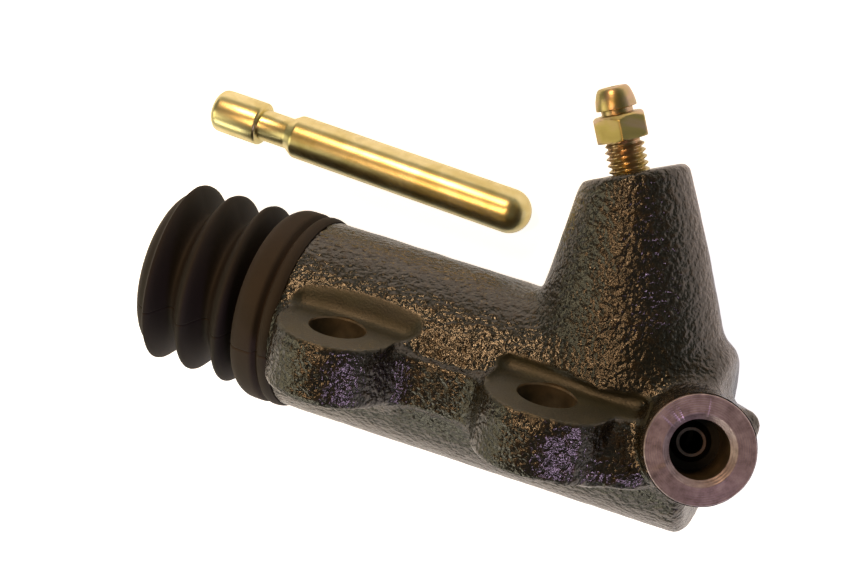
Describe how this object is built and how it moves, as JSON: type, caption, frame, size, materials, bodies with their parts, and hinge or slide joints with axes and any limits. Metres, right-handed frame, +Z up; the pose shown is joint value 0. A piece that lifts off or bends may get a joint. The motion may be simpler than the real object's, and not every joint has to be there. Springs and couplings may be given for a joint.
{
  "type": "clutch slave cylinder",
  "caption": "Clutch slave cylinder: cast body with mounting ears, hose port, bleed screw and folded dust boot, sprung piston inside, push rod lying loose beside it.",
  "frame": {"origin": "middle of the two mounting holes, on the flat pads of the ears", "axes": "+X along the fluid bore towards its closed end, +Y along the mounting holes towards the bleed screw's side, +Z up from the side that the cylinder lies on"},
  "size_m": [0.136, 0.0836, 0.0551],
  "materials": {
    "casting": "rough cast skin under dark semi-gloss lacquer",
    "boot_rubber": "matte moulded",
    "seal_rubber": "smooth moulded",
    "spring_steel": "drawn wire",
    "piston_metal": "turned",
    "spreader_plastic": "moulded",
    "zinc_plate": "turned, yellow zinc plated"
  },
  "bodies": {
    "cylinder": {"body": "casting", "dust_boot": "boot_rubber", "retaining_ring": "spring_steel", "return_spring": "spring_steel", "push_rod": "zinc_plate"},
    "piston_group": {"piston": "piston_metal", "rear_seal": "seal_rubber", "primary_cup": "seal_rubber", "cup_spreader": "spreader_plastic"},
    "bleed": {"bleed_screw": "zinc_plate"}
  },
  "joints": [
    {"name": "piston_slide", "type": "slide", "parent": "cylinder", "child": "piston_group", "axis": [1, 0, 0], "range_m": [0, 0.02], "stiffness_N_per_m": 300, "springref_m": -0.03, "deforming": ["return_spring"]},
    {"name": "bleed_screw_turn", "type": "hinge", "parent": "cylinder", "child": "bleed", "pos_m": [0.0444, -0.0074, -0.022], "axis": [-0.4226, 0.9063, 0], "range_deg": [0, 270]}
  ]
}
